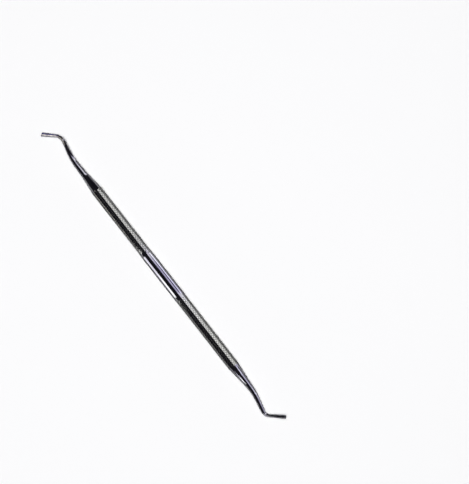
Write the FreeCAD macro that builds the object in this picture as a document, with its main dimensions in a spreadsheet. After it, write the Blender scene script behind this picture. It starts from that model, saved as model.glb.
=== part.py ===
import FreeCAD, Part
import math
import os
import Sketcher

# Double-ended amalgam plugger, one bar of stainless steel: a turned handle with two grips and a plain
# middle, ground down to a shank at each end, and each shank bent twice into a contra-angle that carries
# a flared nib with a flat packing face. The two ends are turned half round from each other.
#
# Frame: X along the handle, from the left end to the right one, and +Z up. The plugger lies as it comes
# to rest on a flat surface at Z = 0, on the middle of its handle and on the rim of the left nib. The
# origin is on that surface, under the middle of the whole. The plugger is drawn first about the handle's
# axis, with its bends in the XY plane, then rolled about that axis and set down.

# Every size in mm, every angle in degrees
SIZES = [
    ("mid_diameter", 5.32, "plain middle of the handle"),
    ("mid_left", 15.3, "from the middle of the handle to the left end of the plain middle"),
    ("mid_right", 11.3, "from the middle of the handle to the right end of the plain middle"),
    ("mid_shoulder", 1.4, "length of the slope from a grip up to the plain middle"),
    ("mid_blend", 9.0, "radius that rounds each slope into the plain middle"),
    ("left_grip_end", 50.8, "from the middle of the handle to the left shoulder"),
    ("left_grip_diameter", 5.0, "left grip, over the crests of its knurl"),
    ("left_bevel", 0.5, "length of the bevel that ends the left grip"),
    ("left_cone_diameter", 4.74, "wide end of the left cone"),
    ("left_cone_length", 8.3, "left cone, from the shoulder to its foot"),
    ("left_foot_diameter", 2.95, "narrow end of the left cone"),
    ("left_cone_blend", 24.0, "radius from the left cone into its shank"),
    ("left_shank_lead", 5.5, "left shank from the foot of its cone to its first bend"),
    ("left_shank_diameter", 2.62, "left shank where the first bend starts"),
    ("left_shank_radius", 30.0, "centre-line radius of the first left bend"),
    ("left_shank_angle", 14.1, "turn of the first left bend away from the handle's axis"),
    ("left_shank_straight", 4.7, "straight run between the two left bends"),
    ("left_middle_diameter", 1.98, "left shank where the first bend ends"),
    ("left_bend_diameter", 1.64, "left shank where the second bend starts"),
    ("left_nib_radius", 4.5, "centre-line radius of the second left bend"),
    ("left_neck_diameter", 1.44, "left nib where the second bend ends"),
    ("left_nib_angle", 48.3, "left nib from the handle's axis"),
    ("left_nib_length", 6.75, "left nib from the second bend to the centre of its face"),
    ("left_face_diameter", 1.92, "left packing face"),
    ("left_face_slant", 9.5, "left packing face from square to its nib, towards the handle's axis"),
    ("right_grip_end", 50.4, "from the middle of the handle to the right shoulder"),
    ("right_grip_diameter", 5.13, "right grip, over the crests of its knurl"),
    ("right_bevel", 0.5, "length of the bevel that ends the right grip"),
    ("right_cone_diameter", 4.86, "wide end of the right cone"),
    ("right_cone_length", 9.8, "right cone, from the shoulder to its foot"),
    ("right_foot_diameter", 2.88, "narrow end of the right cone"),
    ("right_cone_blend", 20.0, "radius from the right cone into its shank"),
    ("right_shank_lead", 1.0, "right shank from the foot of its cone to its first bend"),
    ("right_shank_diameter", 2.82, "right shank where the first bend starts"),
    ("right_shank_radius", 30.0, "centre-line radius of the first right bend"),
    ("right_shank_angle", 13.3, "turn of the first right bend away from the handle's axis"),
    ("right_shank_straight", 6.3, "straight run between the two right bends"),
    ("right_middle_diameter", 2.24, "right shank where the first bend ends"),
    ("right_bend_diameter", 1.9, "right shank where the second bend starts"),
    ("right_nib_radius", 3.2, "centre-line radius of the second right bend"),
    ("right_neck_diameter", 1.42, "right nib where the second bend ends"),
    ("right_nib_angle", 51.0, "right nib from the handle's axis"),
    ("right_nib_length", 7.7, "right nib from the second bend to the centre of its face"),
    ("right_face_diameter", 1.72, "right packing face"),
    ("right_face_slant", 0.0, "right packing face from square to its nib, towards the handle's axis"),
    ("left_face_round", 0.09, "radius on the rim of the left packing face"),
    ("right_face_round", 0.2, "radius on the rim of the right packing face"),
]

V = FreeCAD.Vector
Constraint = Sketcher.Constraint
ORIGIN = H_AXIS = -1
START, END, CENTRE = range(1, 4)
SAME_PLACE = 0.001

# Where a shank's section is set, from its handle to its face, and the size that sets it
RINGS = [("start", "_shank_diameter"), ("shank_end", "_middle_diameter"), ("nib_start", "_bend_diameter"),
         ("neck", "_neck_diameter"), ("face", "_face_diameter")]

doc = FreeCAD.newDocument("AmalgamPlugger")
sheet = doc.addObject("Spreadsheet::Sheet", "Sizes")
for row, (alias, size, meaning) in enumerate(SIZES, start=1):
    sheet.set("A%d" % row, meaning)
    sheet.set("B%d" % row, str(size))
    sheet.setAlias("B%d" % row, alias)
doc.recompute()


def size(alias):
    return float(getattr(sheet, alias))


def sheet_value(formula):
    return float(sheet.evalExpression(formula))


def origin_plane(body, role):
    return [item for item in body.Origin.OriginFeatures if item.Role == role][0]


def flat_sketch(body, name, role):
    sketch = body.newObject("Sketcher::SketchObject", name)
    sketch.AttachmentSupport = [(origin_plane(body, role), "")]
    sketch.MapMode = "FlatFace"
    return sketch


def bend_start(side):
    """Formula of the place along X where one shank starts to bend."""
    return "({0}_grip_end + {0}_cone_length + {0}_shank_lead)".format("Sizes." + side)


def drive(sketch, constraint, formula):
    """Adds a constraint whose value follows the sheet."""
    index = sketch.addConstraint(constraint)
    sketch.setExpression("Constraints[%d]" % index, formula)


def contra_angle(side, turn):
    """Ends and bend centres of one shank's centre line, in the XY plane.

    turn is 1 for the right end and -1 for the left one, which is bent like it but turned half round.
    """
    shank = math.radians(size(side + "_shank_angle"))
    nib = math.radians(size(side + "_nib_angle"))
    shank_radius = size(side + "_shank_radius")
    nib_radius = size(side + "_nib_radius")
    start = V(sheet_value(bend_start(side)), 0, 0)
    shank_centre = start + V(0, -shank_radius, 0)
    shank_end = shank_centre + V(math.sin(shank), math.cos(shank), 0) * shank_radius
    nib_start = shank_end + V(math.cos(shank), -math.sin(shank), 0) * size(side + "_shank_straight")
    nib_centre = nib_start + V(math.sin(shank), math.cos(shank), 0) * nib_radius
    neck = nib_centre + V(math.sin(nib), -math.cos(nib), 0) * nib_radius
    face = neck + V(math.cos(nib), math.sin(nib), 0) * size(side + "_nib_length")
    places = {"start": start, "shank_centre": shank_centre, "shank_end": shank_end,
              "nib_start": nib_start, "nib_centre": nib_centre, "neck": neck, "face": face}
    return {name: place * turn for name, place in places.items()}


def lying_roll():
    """Roll about the handle at which the left nib's rim reaches as low as the middle of the handle."""
    centre = contra_angle("left", 1)["face"]
    heading = math.radians(size("left_nib_angle") - size("left_face_slant"))
    rim = size("left_face_round")
    rim_radius = size("left_face_diameter") / 2 - rim
    middle = size("mid_diameter") / 2
    low, high = 0.0, math.pi / 2
    for _ in range(60):
        roll = (low + high) / 2
        rim_centre = (centre.y - rim * math.sin(heading)) * math.sin(roll)
        rim_drop = rim_radius * math.hypot(math.cos(roll), math.cos(heading) * math.sin(roll))
        if rim_centre + rim_drop + rim < middle:
            low = roll
        else:
            high = roll
    return math.degrees(roll)


def corner_arc(before, corner, after, radius):
    """The arc that rounds a corner, its two tangent points and which of its ends the first one is."""
    back = (before - corner).normalize()
    ahead = (after - corner).normalize()
    half_angle = back.getAngle(ahead) / 2
    centre = corner + (back + ahead).normalize() * (radius / math.sin(half_angle))
    first = corner + back * (radius / math.tan(half_angle))
    second = corner + ahead * (radius / math.tan(half_angle))
    turns_left = back.cross(ahead).z < 0
    ends = (first, second) if turns_left else (second, first)
    angles = [math.atan2(end.y - centre.y, end.x - centre.x) for end in ends]
    arc = Part.ArcOfCircle(Part.Circle(centre, V(0, 0, 1), radius), *angles)
    return arc, first, second, (START if turns_left else END)


def turned_handle(body):
    """The bar as it comes off the lathe: half its outline, revolved about the X axis.

    The outline is drawn in the plane through the axis that is upright once the plugger lies down.
    Each corner of the outline has its place and, where it is rounded, its radius.
    """
    outline = [
        ("-" + bend_start("left"), "0", None),
        ("-" + bend_start("left"), "Sizes.left_shank_diameter / 2", None),
        ("-Sizes.left_grip_end - Sizes.left_cone_length", "Sizes.left_foot_diameter / 2", "left_cone_blend"),
        ("-Sizes.left_grip_end", "Sizes.left_cone_diameter / 2", None),
        ("-Sizes.left_grip_end + Sizes.left_bevel", "Sizes.left_grip_diameter / 2", None),
        ("-Sizes.mid_left", "Sizes.left_grip_diameter / 2", None),
        ("-Sizes.mid_left + Sizes.mid_shoulder", "Sizes.mid_diameter / 2", "mid_blend"),
        ("Sizes.mid_right - Sizes.mid_shoulder", "Sizes.mid_diameter / 2", "mid_blend"),
        ("Sizes.mid_right", "Sizes.right_grip_diameter / 2", None),
        ("Sizes.right_grip_end - Sizes.right_bevel", "Sizes.right_grip_diameter / 2", None),
        ("Sizes.right_grip_end", "Sizes.right_cone_diameter / 2", None),
        ("Sizes.right_grip_end + Sizes.right_cone_length", "Sizes.right_foot_diameter / 2", "right_cone_blend"),
        (bend_start("right"), "Sizes.right_shank_diameter / 2", None),
        (bend_start("right"), "0", None),
    ]
    sketch = flat_sketch(body, "HandleOutline", "XZ_Plane")
    sketch.AttachmentOffset = FreeCAD.Placement(V(0, 0, 0), FreeCAD.Rotation(V(1, 0, 0), -lying_roll()))
    count = len(outline)
    corners = [V(sheet_value(x), sheet_value(y), 0) for x, y, blend in outline]
    arcs = {}
    for index, (x, y, blend) in enumerate(outline):
        if blend:
            before, after = corners[index - 1], corners[(index + 1) % count]
            arcs[index] = corner_arc(before, corners[index], after, size(blend))
    for index in range(count):
        following = (index + 1) % count
        line_start = arcs[index][2] if index in arcs else corners[index]
        line_end = arcs[following][1] if following in arcs else corners[following]
        sketch.addGeometry(Part.LineSegment(line_start, line_end), False)
    for index, (x, y, blend) in enumerate(outline):
        held, held_end = index, START
        previous = (index - 1) % count
        if blend:
            arc, first, second, first_end = arcs[index]
            rounding = sketch.addGeometry(arc, False)
            held = sketch.addGeometry(Part.Point(corners[index]), True)
            second_end = START + END - first_end
            sketch.addConstraint([
                Constraint("Tangent", previous, END, rounding, first_end),
                Constraint("Tangent", rounding, second_end, index, START),
                Constraint("PointOnObject", held, START, previous),
                Constraint("PointOnObject", held, START, index),
            ])
            drive(sketch, Constraint("Radius", rounding, size(blend)), "Sizes." + blend)
        else:
            sketch.addConstraint(Constraint("Coincident", previous, END, index, START))
        drive(sketch, Constraint("DistanceX", ORIGIN, 1, held, held_end, corners[index].x), x)
        if y == "0":
            sketch.addConstraint(Constraint("PointOnObject", held, held_end, H_AXIS))
        else:
            drive(sketch, Constraint("DistanceY", ORIGIN, 1, held, held_end, corners[index].y), y)
    bar = body.newObject("PartDesign::Revolution", "TurnedBar")
    bar.Profile = sketch
    bar.ReferenceAxis = (sketch, ["H_Axis"])
    bar.Angle = 360
    doc.recompute()
    return bar


def centre_line(body, side, turn):
    """Sketch of one bent centre line: bend, straight, bend back, nib."""
    at = contra_angle(side, turn)
    shank = math.radians(size(side + "_shank_angle"))
    nib = math.radians(size(side + "_nib_angle"))
    half_round = 0 if turn > 0 else math.pi
    upright = V(0, 0, 1)
    sketch = flat_sketch(body, side.capitalize() + "CentreLine", "XY_Plane")
    shank_circle = Part.Circle(at["shank_centre"], upright, size(side + "_shank_radius"))
    nib_circle = Part.Circle(at["nib_centre"], upright, size(side + "_nib_radius"))
    top = math.pi / 2 + half_round
    bottom = -math.pi / 2 + half_round
    shank_bend = sketch.addGeometry(Part.ArcOfCircle(shank_circle, top - shank, top), False)
    straight = sketch.addGeometry(Part.LineSegment(at["shank_end"], at["nib_start"]), False)
    nib_bend = sketch.addGeometry(Part.ArcOfCircle(nib_circle, bottom - shank, bottom + nib), False)
    nib_line = sketch.addGeometry(Part.LineSegment(at["neck"], at["face"]), False)
    sketch.addConstraint([
        Constraint("PointOnObject", shank_bend, END, H_AXIS),
        Constraint("Vertical", shank_bend, CENTRE, shank_bend, END),
        Constraint("Tangent", shank_bend, START, straight, START),
        Constraint("Tangent", straight, END, nib_bend, START),
        Constraint("Tangent", nib_bend, END, nib_line, START),
    ])
    cell = "Sizes." + side
    sign = "" if turn > 0 else "-"
    ahead = "0" if turn > 0 else "180"
    drive(sketch, Constraint("DistanceX", ORIGIN, 1, shank_bend, END, at["start"].x), sign + bend_start(side))
    drive(sketch, Constraint("Radius", shank_bend, size(side + "_shank_radius")), cell + "_shank_radius")
    drive(sketch, Constraint("Radius", nib_bend, size(side + "_nib_radius")), cell + "_nib_radius")
    drive(sketch, Constraint("Distance", straight, size(side + "_shank_straight")), cell + "_shank_straight")
    drive(sketch, Constraint("Distance", nib_line, size(side + "_nib_length")), cell + "_nib_length")
    drive(sketch, Constraint("Angle", straight, half_round - shank), "(%s - %s_shank_angle) * 1 deg" % (ahead, cell))
    drive(sketch, Constraint("Angle", nib_line, nib - half_round), "(%s_nib_angle - %s) * 1 deg" % (cell, ahead))
    doc.recompute()
    return sketch


def line_end(line, place):
    """The centre line's edge that has an end at a place, and the parameter of that end."""
    for number, edge in enumerate(line.Shape.Edges, start=1):
        for parameter, end in enumerate((edge.valueAt(edge.FirstParameter), edge.valueAt(edge.LastParameter))):
            if end.distanceToPoint(place) < SAME_PLACE:
                return "Edge%d" % number, float(parameter)
    raise ValueError("the centre line has no end there")


def bent_shank(body, side, turn):
    """One shank and its nib: a round section that narrows to the neck and flares to the packing face."""
    line = centre_line(body, side, turn)
    at = contra_angle(side, turn)
    rings = []
    for place, cell in RINGS:
        ring = body.newObject("Sketcher::SketchObject", side.capitalize() + "Ring_" + place)
        edge, parameter = line_end(line, at[place])
        ring.AttachmentSupport = [(line, edge)]
        ring.MapMode = "NormalToEdge"
        ring.MapPathParameter = parameter
        circle = ring.addGeometry(Part.Circle(V(0, 0, 0), V(0, 0, 1), size(side + cell) / 2), False)
        ring.addConstraint(Constraint("Coincident", circle, CENTRE, ORIGIN, 1))
        drive(ring, Constraint("Diameter", circle, size(side + cell)), "Sizes." + side + cell)
        rings.append(ring)
    face_ring = rings[-1]
    face_ring.AttachmentOffset = FreeCAD.Placement(V(0, 0, 0), FreeCAD.Rotation(V(0, 1, 0), -1))
    face_ring.setExpression("AttachmentOffset.Rotation.Angle", "-Sizes.%s_face_slant * 1 deg" % side)
    shank = body.newObject("PartDesign::AdditivePipe", side.capitalize() + "Shank")
    shank.Profile = rings[0]
    shank.Spine = (line, ["Edge4", "Edge3", "Edge2", "Edge1"])
    shank.Transformation = "Multisection"
    shank.Sections = rings[1:]
    doc.recompute()
    return shank


def round_face_rim(body, side):
    """Takes the sharp edge off the rim of one packing face."""
    base = body.Tip
    centre = doc.getObject(side.capitalize() + "Ring_face").Placement.Base
    radius = size(side + "_face_diameter") / 2
    rim = []
    for number, edge in enumerate(base.Shape.Edges, start=1):
        reach = [vertex.Point.distanceToPoint(centre) for vertex in edge.Vertexes]
        if all(abs(distance - radius) < SAME_PLACE for distance in reach):
            rim.append("Edge%d" % number)
    fillet = body.newObject("PartDesign::Fillet", side.capitalize() + "FaceRim")
    fillet.Base = (base, rim)
    fillet.setExpression("Radius", "Sizes.%s_face_round" % side)
    doc.recompute()
    return fillet


body = doc.addObject("PartDesign::Body", "plugger")
body.Label = "plugger"
turned_handle(body)
for side, turn in (("left", -1), ("right", 1)):
    bent_shank(body, side, turn)
for side in ("left", "right"):
    round_face_rim(body, side)
body.Placement = FreeCAD.Placement(V(0, 0, 0), FreeCAD.Rotation(V(1, 0, 0), lying_roll()))
bounds = body.Shape.optimalBoundingBox()
body.Placement.Base = V(-bounds.Center.x, -bounds.Center.y, -bounds.ZMin)
doc.recompute()

for item in doc.Objects:
    if "Invalid" in item.State or "Error" in item.State:
        raise RuntimeError("%s failed: %s" % (item.Name, item.State))
if body.Shape.isNull() or not body.Shape.isValid() or len(body.Shape.Solids) != 1:
    raise RuntimeError("the plugger isn't one valid solid")

os.makedirs("parts", exist_ok=True)
body.Shape.exportStep("parts/plugger.step")
final = body.Shape.optimalBoundingBox()
print("roll %.2f deg, volume %.2f mm3" % (lying_roll(), body.Shape.Volume))
print("box", [round(v, 3) for v in (final.XMin, final.YMin, final.ZMin, final.XMax, final.YMax, final.ZMax)])
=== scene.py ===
import math

import bpy
from mathutils import Matrix, Vector


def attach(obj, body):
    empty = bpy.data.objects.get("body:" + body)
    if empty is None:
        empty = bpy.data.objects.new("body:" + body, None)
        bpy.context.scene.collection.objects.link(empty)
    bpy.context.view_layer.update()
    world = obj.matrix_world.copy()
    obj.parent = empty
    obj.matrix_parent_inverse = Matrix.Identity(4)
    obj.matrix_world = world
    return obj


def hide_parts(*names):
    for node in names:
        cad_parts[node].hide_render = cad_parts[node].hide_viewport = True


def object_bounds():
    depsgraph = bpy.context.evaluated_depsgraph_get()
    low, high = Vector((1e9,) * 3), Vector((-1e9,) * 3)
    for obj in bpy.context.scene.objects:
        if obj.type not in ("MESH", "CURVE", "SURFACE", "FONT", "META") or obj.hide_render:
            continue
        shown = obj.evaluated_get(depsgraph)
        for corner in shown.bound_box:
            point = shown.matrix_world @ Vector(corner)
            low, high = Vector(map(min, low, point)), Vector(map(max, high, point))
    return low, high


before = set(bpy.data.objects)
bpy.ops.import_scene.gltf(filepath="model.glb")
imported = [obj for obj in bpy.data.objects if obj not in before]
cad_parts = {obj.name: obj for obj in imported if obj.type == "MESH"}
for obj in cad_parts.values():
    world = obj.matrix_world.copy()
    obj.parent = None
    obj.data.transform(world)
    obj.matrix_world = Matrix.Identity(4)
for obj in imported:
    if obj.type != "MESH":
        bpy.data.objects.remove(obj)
cad_low, cad_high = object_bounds()

# The turned bar. One bar of stainless steel, turned to a handle with two grips and a thicker plain middle,
# and to a cone at each end that runs into a slim shank. Its outline is followed here from the left shank to
# the right one. Lengths and diameters are in millimetres, places along the bar are from its middle.
MM = 0.001
MIDDLE = {"diameter": 5.32, "left": 15.3, "right": 11.3, "shoulder": 1.4, "blend": 9.0}
LEFT = {
    "grip_end": 50.8, "grip": 5.0, "bevel": 0.5, "cone": 4.74, "cone_length": 8.3, "foot": 2.95,
    "cone_blend": 24.0, "shank_lead": 5.5, "shank_start": 2.62, "shank_radius": 30.0, "shank_angle": 14.1,
    "shank_straight": 4.7, "shank_end": 1.98, "nib_start": 1.64, "nib_radius": 4.5, "neck": 1.44,
    "nib_angle": 48.3, "nib_length": 6.75, "face": 1.92, "face_slant": 9.5, "face_round": 0.09,
}
RIGHT = {
    "grip_end": 50.4, "grip": 5.13, "bevel": 0.5, "cone": 4.86, "cone_length": 9.8, "foot": 2.88,
    "cone_blend": 20.0, "shank_lead": 1.0, "shank_start": 2.82, "shank_radius": 30.0, "shank_angle": 13.3,
    "shank_straight": 6.3, "shank_end": 2.24, "nib_start": 1.9, "nib_radius": 3.2, "neck": 1.42,
    "nib_angle": 51.0, "nib_length": 7.7, "face": 1.72, "face_slant": 0.0, "face_round": 0.2,
}
AROUND = 120
ARC_RINGS = 10
PLAIN, KNURLED = range(2)


def rounded_outline(corners):
    """Points (place, radius) of a turned outline. A corner has its place, radius and blend radius or None."""
    points = []
    for index, (place, radius, blend) in enumerate(corners):
        corner = Vector((place, radius))
        if blend is None:
            points.append(corner)
            continue
        back = (Vector(corners[index - 1][:2]) - corner).normalized()
        ahead = (Vector(corners[index + 1][:2]) - corner).normalized()
        half_angle = back.angle(ahead) / 2
        centre = corner + (back + ahead).normalized() * (blend / math.sin(half_angle))
        first = corner + back * (blend / math.tan(half_angle)) - centre
        last = corner + ahead * (blend / math.tan(half_angle)) - centre
        for step in range(ARC_RINGS + 1):
            spoke = first.lerp(last, step / ARC_RINGS).normalized() * blend
            points.append(centre + spoke)
    return points


def cone_outline(end):
    """One end of the bar, from the bevel of its grip to where its shank starts to bend."""
    foot = end["grip_end"] + end["cone_length"]
    return rounded_outline([
        (end["grip_end"] - end["bevel"], end["grip"] / 2, None),
        (end["grip_end"], end["cone"] / 2, None),
        (foot, end["foot"] / 2, end["cone_blend"]),
        (foot + end["shank_lead"], end["shank_start"] / 2, None),
    ])


middle_outline = rounded_outline([
    (-MIDDLE["left"], LEFT["grip"] / 2, None),
    (MIDDLE["shoulder"] - MIDDLE["left"], MIDDLE["diameter"] / 2, MIDDLE["blend"]),
    (MIDDLE["right"] - MIDDLE["shoulder"], MIDDLE["diameter"] / 2, MIDDLE["blend"]),
    (MIDDLE["right"], RIGHT["grip"] / 2, None),
])

# Each ring of the surface: the middle of the ring, the heading of the bar there, the radius at each step
# around it, and the finish of the surface that follows it
rings = []


def add_ring(place, heading, radii, finish=PLAIN):
    rings.append((Vector(place), heading, radii, finish))


# The two grips. Their diamond knurl is rolled into the bar by a pair of wheels with slanted teeth, which
# leaves two crossing sets of grooves and rows of flat-topped diamonds that end square at each shoulder.
KNURL_STEP = 1.2
KNURL_STARTS = 15
KNURL_DEPTH = 0.07
KNURL_FLAT = 0.75
KNURL_RINGS = AROUND // KNURL_STARTS


def groove_share(along, around):
    """How deep the knurl is at a place, from 0 on a diamond's top to 1 in a groove, in steps of the knurl."""
    reach = max(abs((slant % 1.0) - 0.5) * 2 for slant in (along + around, along - around))
    return max(0.0, reach - KNURL_FLAT) / (1 - KNURL_FLAT)


def add_grip(start, end, diameter):
    """Rings of one grip, from one place along the bar to another. The last one opens the plain steel."""
    count = round((end - start) / KNURL_STEP * KNURL_RINGS)
    for ring in range(count + 1):
        place = start + (end - start) * ring / count
        shares = [groove_share(ring / KNURL_RINGS, step / KNURL_RINGS) for step in range(AROUND)]
        finish = KNURLED if ring < count else PLAIN
        add_ring((place, 0, 0), 0.0, [diameter / 2 - KNURL_DEPTH * share for share in shares], finish)


# The two contra-angles. Each shank is ground round and slim, bent away from the handle's axis and then back
# across it, and its nib flares to a flat packing face. The left end is turned half round from the right one.
BEND_RINGS = 24
STRAIGHT_RINGS = 4
NIB_RINGS = 40
RIM_RINGS = 6
SLANT_RUN = 1.6
TAPER_DIAMETERS = ("shank_start", "shank_end", "nib_start", "neck", "face")


def smooth_step(share):
    """A share from 0 to 1 that starts and ends gently."""
    share = min(max(share, 0.0), 1.0)
    return share * share * (3 - 2 * share)


def smooth_through(stations, place):
    """A smooth curve through stations (place, value) of a shank's taper."""
    index = max(i for i in range(len(stations) - 1) if stations[i][0] <= place or i == 0)
    slopes = []
    for at in (index, index + 1):
        low, high = stations[max(at - 1, 0)], stations[min(at + 1, len(stations) - 1)]
        slopes.append((high[1] - low[1]) / (high[0] - low[0]))
    (x0, y0), (x1, y1) = stations[index:index + 2]
    span = x1 - x0
    t = (place - x0) / span
    return ((1 + 2 * t) * (1 - t) ** 2 * y0 + t * (1 - t) ** 2 * span * slopes[0]
            + t * t * (3 - 2 * t) * y1 + t * t * (t - 1) * span * slopes[1])


def contra_angle_rings(end):
    """Rings (place, heading, radius) of one end, drawn as the right one, from its shank to its face."""
    shank, nib = math.radians(end["shank_angle"]), math.radians(end["nib_angle"])
    face_slant = math.radians(end["face_slant"])
    rim = end["face_round"]
    lengths = [
        end["shank_radius"] * shank,
        end["shank_straight"],
        end["nib_radius"] * (shank + nib),
        end["nib_length"],
    ]
    turns = [-shank, 0.0, shank + nib, 0.0]
    counts = [BEND_RINGS, STRAIGHT_RINGS, BEND_RINGS, NIB_RINGS]
    marks = [sum(lengths[:count]) for count in range(len(lengths) + 1)]
    stations = list(zip(marks, (end[name] / 2 for name in TAPER_DIAMETERS)))
    place = Vector((end["grip_end"] + end["cone_length"] + end["shank_lead"], 0, 0))
    heading, travelled, centre_line = 0.0, 0.0, []
    for length, turn, count in zip(lengths, turns, counts):
        for _ in range(count):
            step = length / count
            half_turn = turn / count / 2
            chord = step * (math.sin(half_turn) / half_turn if half_turn else 1.0)
            heading += half_turn
            place = place + Vector((math.cos(heading), math.sin(heading), 0)) * chord
            heading += half_turn
            travelled += step
            centre_line.append((place, travelled, heading))
    end_rings = []
    for place, travelled, heading in centre_line:
        if travelled > marks[-1] - rim:
            break
        slant = face_slant * smooth_step(1 - (marks[-1] - travelled) / SLANT_RUN)
        end_rings.append((place, heading - slant, smooth_through(stations, travelled)))
    face_place, heading = centre_line[-1][0], centre_line[-1][2] - face_slant
    ahead = Vector((math.cos(heading), math.sin(heading), 0))
    for step in range(RIM_RINGS + 1):
        turn = math.pi / 2 * step / RIM_RINGS
        radius = end["face"] / 2 - rim + rim * math.cos(turn)
        end_rings.append((face_place - ahead * rim * (1 - math.sin(turn)), heading, radius))
    return end_rings


# The whole bar as one surface, gathered ring by ring from its left face to its right one. It is drawn with
# its bends in the XY plane and rolled to lie on the middle of its handle and on the rim of its left nib, in
# the box that the solid has.
LYING_ROLL = math.radians(23.66)
SHARP_EDGE = math.radians(30)

for place, heading, radius in reversed(contra_angle_rings(LEFT)):
    add_ring(-place, heading, [radius] * AROUND)
for point in reversed(cone_outline(LEFT)):
    add_ring((-point.x, 0, 0), 0.0, [point.y] * AROUND)
add_grip(LEFT["bevel"] - LEFT["grip_end"], -MIDDLE["left"], LEFT["grip"])
for point in middle_outline:
    add_ring((point.x, 0, 0), 0.0, [point.y] * AROUND)
add_grip(MIDDLE["right"], RIGHT["grip_end"] - RIGHT["bevel"], RIGHT["grip"])
for point in cone_outline(RIGHT):
    add_ring((point.x, 0, 0), 0.0, [point.y] * AROUND)
for place, heading, radius in contra_angle_rings(RIGHT):
    add_ring(place, heading, [radius] * AROUND)

points = []
for place, heading, radii, finish in rings:
    across = Vector((-math.sin(heading), math.cos(heading), 0))
    for step, radius in enumerate(radii):
        turn = 2 * math.pi * step / AROUND
        points.append(place + (across * math.cos(turn) + Vector((0, 0, 1)) * math.sin(turn)) * radius)
roll = Matrix.Rotation(LYING_ROLL, 3, "X")
points = [roll @ point * MM for point in points]
axis_height = MIDDLE["diameter"] / 2 * MM
drawn_middle = [(min(p[axis] for p in points) + max(p[axis] for p in points)) / 2 for axis in (0, 1)]
handle_middle = Vector((
    (cad_low.x + cad_high.x) / 2 - drawn_middle[0],
    (cad_low.y + cad_high.y) / 2 - drawn_middle[1],
    cad_low.z + axis_height,
))
points = [point + handle_middle for point in points]

# A plain face round the bar has four corners. A knurled one is split along the diagonal whose ends differ
# less in radius, and the two packing faces close the ends.
faces, finishes = [], []
for index in range(len(rings) - 1):
    finish = rings[index][3]
    for step in range(AROUND):
        near, far = index * AROUND, (index + 1) * AROUND
        corners = (near + step, near + (step + 1) % AROUND, far + (step + 1) % AROUND, far + step)
        if finish == PLAIN:
            faces.append(corners[::-1])
            finishes.append(finish)
        else:
            radii = [rings[index][2][step], rings[index][2][(step + 1) % AROUND],
                     rings[index + 1][2][(step + 1) % AROUND], rings[index + 1][2][step]]
            first = 0 if abs(radii[0] - radii[2]) < abs(radii[1] - radii[3]) else 1
            a, b, c, d = corners[first:] + corners[:first]
            faces += [(c, b, a), (d, c, a)]
            finishes += [finish, finish]
faces += [tuple(range(AROUND)), tuple(reversed(range(len(points) - AROUND, len(points))))]
finishes += [PLAIN, PLAIN]

plugger_mesh = bpy.data.meshes.new("plugger_steel")
plugger_mesh.from_pydata([tuple(point) for point in points], [], faces)
for polygon, finish in zip(plugger_mesh.polygons, finishes):
    polygon.material_index = finish
    polygon.use_smooth = finish == PLAIN and len(polygon.vertices) == 4
plugger_mesh.set_sharp_from_angle(angle=SHARP_EDGE)
plugger = bpy.data.objects.new("plugger_steel", plugger_mesh)
bpy.context.scene.collection.objects.link(plugger)

# The finish of the steel. The plain parts keep fine rings from turning under a polish along the bar. The
# knurl keeps its finish as rolled, and shade is painted into its colour, darker towards the bottom of its
# grooves. Scales count the marks in a metre of X, Y and Z.
EDGE_TINT = (0.0, 0.0, 0.03, 1)
STREAK_RANGE = (0.3, 0.7)
SHADE_RANGE = (0.4, 0.6)
STREAK_DETAIL = 3
MARK_DETAIL = 2
# The darkest painted shade in a knurl groove, as a share of the steel's colour
GROOVE_SHADE = 0.08
GROOVE_BOTTOM = 0.5
GROOVE_TOP = 0.04
# The colour sockets of a mix node, which share their names with its other sockets
MIX_FIRST, MIX_SECOND, MIX_RESULT = 6, 7, 2


def steel(name, shades, roughnesses, streak_scale, mark_scale, mark_depth):
    """Stainless steel. Streaks from polishing shift its shade and gloss, and tool marks are fine furrows."""
    material = bpy.data.materials.new(name)
    material.use_nodes = True
    nodes, links = material.node_tree.nodes, material.node_tree.links
    shader = nodes["Principled BSDF"]
    shader.inputs["Metallic"].default_value = 1.0
    shader.inputs["Specular Tint"].default_value = EDGE_TINT
    place = nodes.new("ShaderNodeTexCoord")

    def pattern(scale, detail):
        stretch = nodes.new("ShaderNodeVectorMath")
        stretch.operation = "MULTIPLY"
        stretch.inputs[1].default_value = scale
        links.new(place.outputs["Object"], stretch.inputs[0])
        noise = nodes.new("ShaderNodeTexNoise")
        noise.inputs["Scale"].default_value = 1.0
        noise.inputs["Detail"].default_value = detail
        links.new(stretch.outputs[0], noise.inputs["Vector"])
        return noise.outputs["Fac"]

    streaks = pattern(streak_scale, STREAK_DETAIL)
    gloss = nodes.new("ShaderNodeMapRange")
    gloss.inputs["From Min"].default_value, gloss.inputs["From Max"].default_value = STREAK_RANGE
    gloss.inputs["To Min"].default_value, gloss.inputs["To Max"].default_value = roughnesses
    links.new(streaks, gloss.inputs["Value"])
    links.new(gloss.outputs["Result"], shader.inputs["Roughness"])
    shade = nodes.new("ShaderNodeValToRGB")
    for element, position, colour in zip(shade.color_ramp.elements, SHADE_RANGE, shades):
        element.position = position
        element.color = (*colour, 1)
    links.new(streaks, shade.inputs["Fac"])
    links.new(shade.outputs["Color"], shader.inputs["Base Color"])
    furrows = nodes.new("ShaderNodeBump")
    furrows.inputs["Distance"].default_value = mark_depth
    links.new(pattern(mark_scale, MARK_DETAIL), furrows.inputs["Height"])
    links.new(furrows.outputs["Normal"], shader.inputs["Normal"])
    return material


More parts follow.
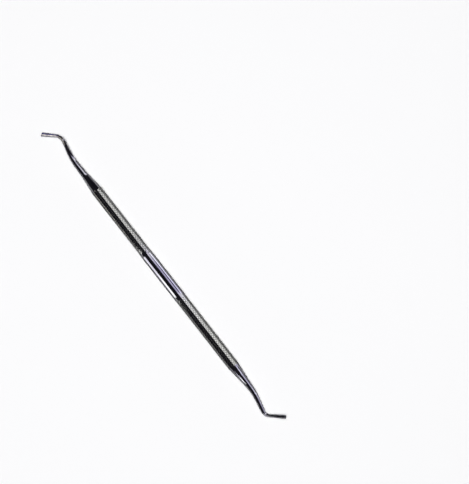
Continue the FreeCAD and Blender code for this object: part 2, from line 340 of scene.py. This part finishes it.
def paint_groove_shade(material, top_radius, right_excess, depth):
    """Painted shade: steel whose colour is darker towards the bottom of the knurl's grooves. The right grip
    is a little thicker.
    """
    nodes, links = material.node_tree.nodes, material.node_tree.links
    shader = nodes["Principled BSDF"]
    place = nodes.new("ShaderNodeTexCoord")
    split = nodes.new("ShaderNodeSeparateXYZ")
    links.new(place.outputs["Object"], split.inputs[0])

    def worked_out(operation, first, second):
        node = nodes.new("ShaderNodeMath")
        node.operation = operation
        for socket, value in zip(node.inputs, (first, second)):
            if isinstance(value, float):
                socket.default_value = value
            else:
                links.new(value, socket)
        return node.outputs[0]

    level = worked_out("SUBTRACT", split.outputs["Y"], handle_middle.y)
    height = worked_out("SUBTRACT", split.outputs["Z"], handle_middle.z)
    squares = worked_out("ADD", worked_out("MULTIPLY", level, level), worked_out("MULTIPLY", height, height))
    radius = worked_out("SQRT", squares, 0.0)
    excess = worked_out("MULTIPLY", worked_out("GREATER_THAN", split.outputs["X"], 0.0), right_excess)
    # The painted shade, darkest from halfway down a groove and gone near a diamond's top
    bottom = nodes.new("ShaderNodeMapRange")
    bottom.inputs["From Min"].default_value = top_radius - depth * GROOVE_BOTTOM
    bottom.inputs["From Max"].default_value = top_radius - depth * GROOVE_TOP
    bottom.inputs["To Min"].default_value = GROOVE_SHADE
    bottom.inputs["To Max"].default_value = 1.0
    links.new(worked_out("SUBTRACT", radius, excess), bottom.inputs["Value"])
    # The painted groove shade multiplies the steel's colour
    tint = nodes.new("ShaderNodeMix")
    tint.data_type = "RGBA"
    tint.blend_type = "MULTIPLY"
    tint.inputs["Factor"].default_value = 1.0
    links.new(shader.inputs["Base Color"].links[0].from_socket, tint.inputs[MIX_FIRST])
    links.new(bottom.outputs["Result"], tint.inputs[MIX_SECOND])
    links.new(tint.outputs[MIX_RESULT], shader.inputs["Base Color"])


polished = steel(
    "polished_steel",
    shades=((0.14, 0.135, 0.16), (0.265, 0.265, 0.27)),
    roughnesses=(0.035, 0.08),
    streak_scale=(60, 1400, 1400),
    mark_scale=(7000, 200, 200),
    mark_depth=0.0000004,
)
knurled = steel(
    "knurled_steel",
    shades=((0.22, 0.22, 0.215), (0.27, 0.27, 0.26)),
    roughnesses=(0.05, 0.10),
    streak_scale=(2000, 2500, 2500),
    mark_scale=(3000, 3000, 3000),
    mark_depth=0.0000010,
)
grip_excess = (RIGHT["grip"] - LEFT["grip"]) / 2 * MM
# Painted shade in the grooves of the knurled steel
paint_groove_shade(knurled, LEFT["grip"] / 2 * MM, grip_excess, KNURL_DEPTH * MM)
plugger_mesh.materials.append(polished)
plugger_mesh.materials.append(knurled)
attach(plugger, "root")
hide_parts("plugger")

# The floor. A plain matt white sheet under the whole set, 12 m across. The steel mirrors it along both of
# its sides.
FLOOR_REACH = 6.0
FLOOR_WHITE = 0.9

floor_mesh = bpy.data.meshes.new("floor")
floor_mesh.from_pydata([
    (-FLOOR_REACH, -FLOOR_REACH, 0),
    (FLOOR_REACH, -FLOOR_REACH, 0),
    (FLOOR_REACH, FLOOR_REACH, 0),
    (-FLOOR_REACH, FLOOR_REACH, 0),
], [], [(0, 1, 2, 3)])
floor = bpy.data.objects.new("floor", floor_mesh)
bpy.context.scene.collection.objects.link(floor)
floor_paper = bpy.data.materials.new("white_paper")
floor_paper.use_nodes = True
paper = floor_paper.node_tree.nodes["Principled BSDF"]
paper.inputs["Base Color"].default_value = (FLOOR_WHITE, FLOOR_WHITE, FLOOR_WHITE, 1)
paper.inputs["Roughness"].default_value = 1.0
paper.inputs["Specular IOR Level"].default_value = 0.0
floor_mesh.materials.append(floor_paper)

# The studio lamps. Each is a flat panel that faces the point it aims at. All but the overhead one are there
# only to be mirrored by the steel, as its bands and streaks, and the overhead one lights only the floor.
# Places and sizes are in metres. A panel that is resized keeps its brightness.
NEARLY_UPRIGHT = 0.99
WHITE = (1, 1, 1)
PALE_LILAC = (0.95, 0.94, 1.0)
LILAC = (0.85, 0.83, 1.0)


def panel(name, place, size, radiance, colour=WHITE, aim=(0, 0, 0), for_steel=True):
    """A flat lamp of an even brightness. Its first size runs level and its second one across that."""
    light = bpy.data.lights.new(name, "AREA")
    light.shape = "RECTANGLE"
    light.size, light.size_y = size
    light.energy = radiance * math.pi * size[0] * size[1]
    light.color = colour
    piece = bpy.data.objects.new(name, light)
    away = (Vector(place) - Vector(aim)).normalized()
    level = Vector((0, 1, 0)).cross(away) if abs(away.z) > NEARLY_UPRIGHT else Vector((0, 0, 1)).cross(away)
    level.normalize()
    rise = away.cross(level)
    turn = Matrix((level, rise, away)).transposed()
    piece.matrix_world = Matrix.Translation(place) @ turn.to_4x4()
    piece.visible_camera = False
    piece.visible_diffuse = not for_steel
    piece.visible_glossy = for_steel
    bpy.context.scene.collection.objects.link(piece)


# In this order: the white stripe on the handle's middle, a streak along the right cone and shank, and a
# cream and a blue mark on the left nib.
panel("near_strip", place=(-0.0033, -0.235, 0.075), size=(0.0334, 0.17), radiance=4.8, aim=(-0.0033, 0, 0))
panel("near_corner", place=(0.325, -0.82, 0.56), size=(0.08, 0.24), radiance=9.0, aim=(0.06, 0, 0))
panel("nib_lamp", place=(-0.0945, -0.0375, 0.049), size=(0.028, 0.015), radiance=6.0,
      colour=(1.0, 0.93, 0.80), aim=(-0.083, -0.003, 0.003))
panel("nib_edge_lamp", place=(-0.1635, 0.008, 0.06), size=(0.045, 0.03), radiance=2.4,
      colour=(0.34, 0.34, 1.0), aim=(-0.082, -0.002, 0.003))

# The bands above the axis. Each panel has its distance from the handle, its two ends along X, its lowest and
# highest angle above the floor in degrees, its brightness and its colour.
for name, distance, start, end, low_angle, high_angle, radiance, colour in (
    ("far_left_shoulder", 2.0, -0.520, -0.380, 12, 75, 3.0, PALE_LILAC),
    ("far_left_foot", 2.0, -0.380, -0.160, 34, 74, 2.8, PALE_LILAC),
    ("far_left_grip", 2.0, -0.160, -0.054, 12, 75, 3.3, WHITE),
    ("far_middle_low", 2.0, -0.054, 0.030, 6, 28, 4.6, (0.80, 0.78, 1.0)),
    ("far_middle_high", 2.0, -0.054, 0.030, 47, 74, 2.6, (0.78, 0.75, 1.0)),
    ("near_right_grip", 0.3, 0.0125, 0.083, 12, 75, 3.3, WHITE),
    ("near_right_foot", 0.3, 0.094, 0.119, 25, 62, 2.6, LILAC),
    ("far_right_cone", 2.0, 0.44, 0.75, 25, 62, 2.6, LILAC),
    ("far_right_shank", 2.0, 0.75, 1.35, 5, 55, 2.6, LILAC),
):
    middle_x = (start + end) / 2
    elevation = math.radians(low_angle + high_angle) / 2
    rise = 2 * distance * math.tan(math.radians(high_angle - low_angle) / 2)
    place = (middle_x, distance * math.cos(elevation), distance * math.sin(elevation))
    panel(name, place, (end - start, rise), radiance, colour, (middle_x, 0, 0))
panel("overhead_fill", place=(0, 0, 1.5), size=(0.5, 0.5), radiance=30.3, for_steel=False)

# The room. A white backdrop stands round the floor up to a low height, and the studio is dark above it, which
# the steel mirrors as its black core. Heights are the upward part of a direction, from 0 to 1.
BACKDROP_TOP = 0.10
DARK_FROM = 0.20
BACKDROP_WHITE = (0.85, 0.85, 0.85, 1)
ROOM_DARK = (0.035, 0.034, 0.045, 1)

world = bpy.data.worlds.new("studio")
world.use_nodes = True
nodes, links = world.node_tree.nodes, world.node_tree.links
direction = nodes.new("ShaderNodeTexCoord")
split = nodes.new("ShaderNodeSeparateXYZ")
links.new(direction.outputs["Generated"], split.inputs[0])
sky = nodes.new("ShaderNodeValToRGB")
sky.color_ramp.elements[0].position = BACKDROP_TOP
sky.color_ramp.elements[0].color = BACKDROP_WHITE
sky.color_ramp.elements[1].position = DARK_FROM
sky.color_ramp.elements[1].color = ROOM_DARK
links.new(split.outputs["Z"], sky.inputs["Fac"])
links.new(sky.outputs["Color"], nodes["Background"].inputs["Color"])
bpy.context.scene.world = world

# The camera. It looks straight down, turned so that the handle slants as in the photograph. Places in the
# picture are in its pixels, and a pixel is 0.45 mm on the object.
PICTURE_WIDTH, PICTURE_HEIGHT = 469, 484
PIXEL = 0.45 * MM
HANDLE_MIDDLE_AT = Vector((165.42, 278.53))
PICTURE_TURN = math.radians(52.06)
LENS, SENSOR = 180.0, 36.0

right = Vector((math.cos(PICTURE_TURN), math.sin(PICTURE_TURN), 0))
up = Vector((-math.sin(PICTURE_TURN), math.cos(PICTURE_TURN), 0))
aim = handle_middle + right * (PICTURE_WIDTH / 2 - HANDLE_MIDDLE_AT.x) * PIXEL \
    + up * (HANDLE_MIDDLE_AT.y - PICTURE_HEIGHT / 2) * PIXEL
camera_data = bpy.data.cameras.new("camera")
camera_data.lens = LENS
camera_data.sensor_width = SENSOR
camera = bpy.data.objects.new("camera", camera_data)
camera.location = aim + Vector((0, 0, PICTURE_HEIGHT * PIXEL * LENS / SENSOR))
camera.rotation_euler = (0, 0, PICTURE_TURN)
bpy.context.scene.collection.objects.link(camera)
bpy.context.scene.camera = camera
bpy.context.scene.view_settings.view_transform = "Standard"
